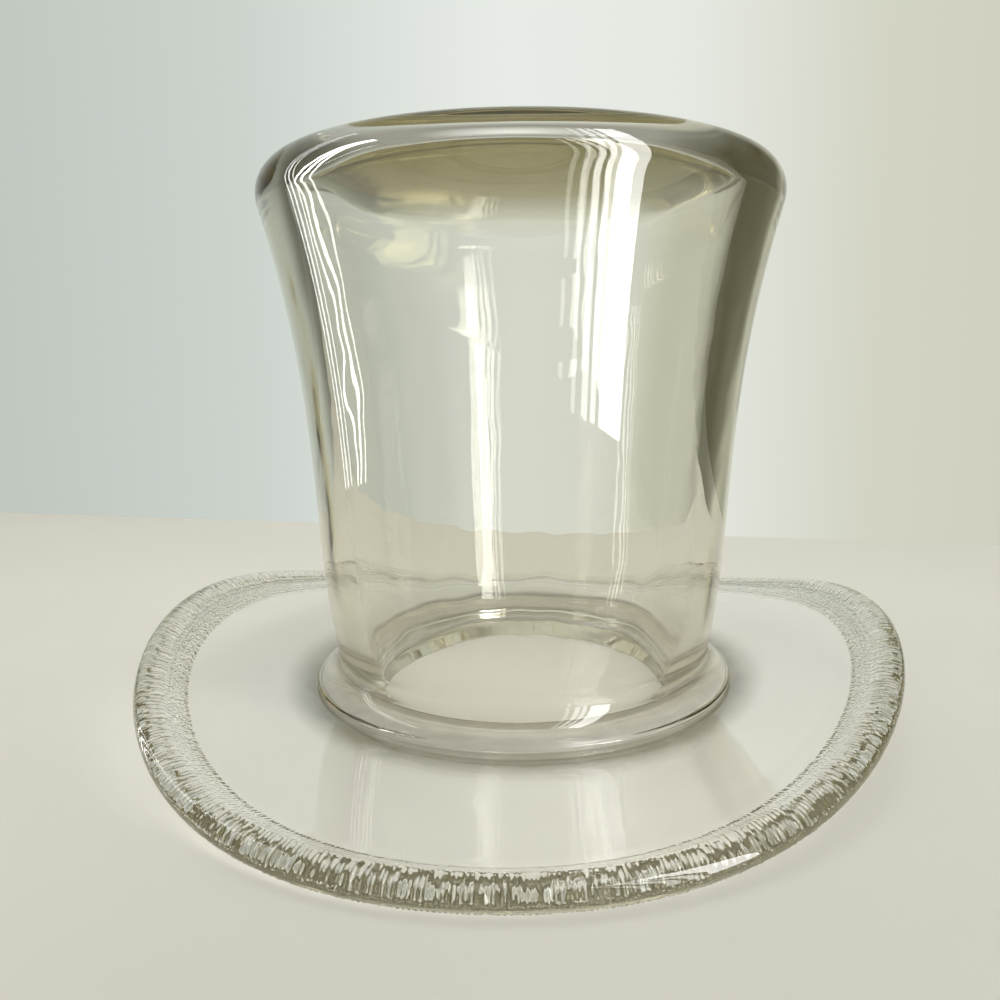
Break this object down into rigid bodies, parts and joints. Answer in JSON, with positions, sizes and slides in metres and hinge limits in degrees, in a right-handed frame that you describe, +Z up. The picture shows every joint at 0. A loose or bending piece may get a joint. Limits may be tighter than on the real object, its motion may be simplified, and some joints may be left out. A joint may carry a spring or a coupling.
{
  "type": "glass hat",
  "caption": "Clear heavy glass top hat: bell-flared oval crown with a closed flat top, seated on an oval saddle brim with a rolled, pebbled border.",
  "frame": {"origin": "on the table, under the middle of the crown, with the hat standing on its brim", "axes": "X is the hat's width, Y its length from front (-Y) to back, +Z up through the crown's closed top"},
  "size_m": [0.2, 0.255, 0.1443],
  "materials": {
    "brim_glass": "fire-polished, pebbled under the border",
    "cement": "clear cured cement",
    "crown_glass": "fire-polished"
  },
  "bodies": {
    "root": {"brim": "brim_glass", "cement_ring": "cement", "crown": "crown_glass"}
  },
  "joints": []
}
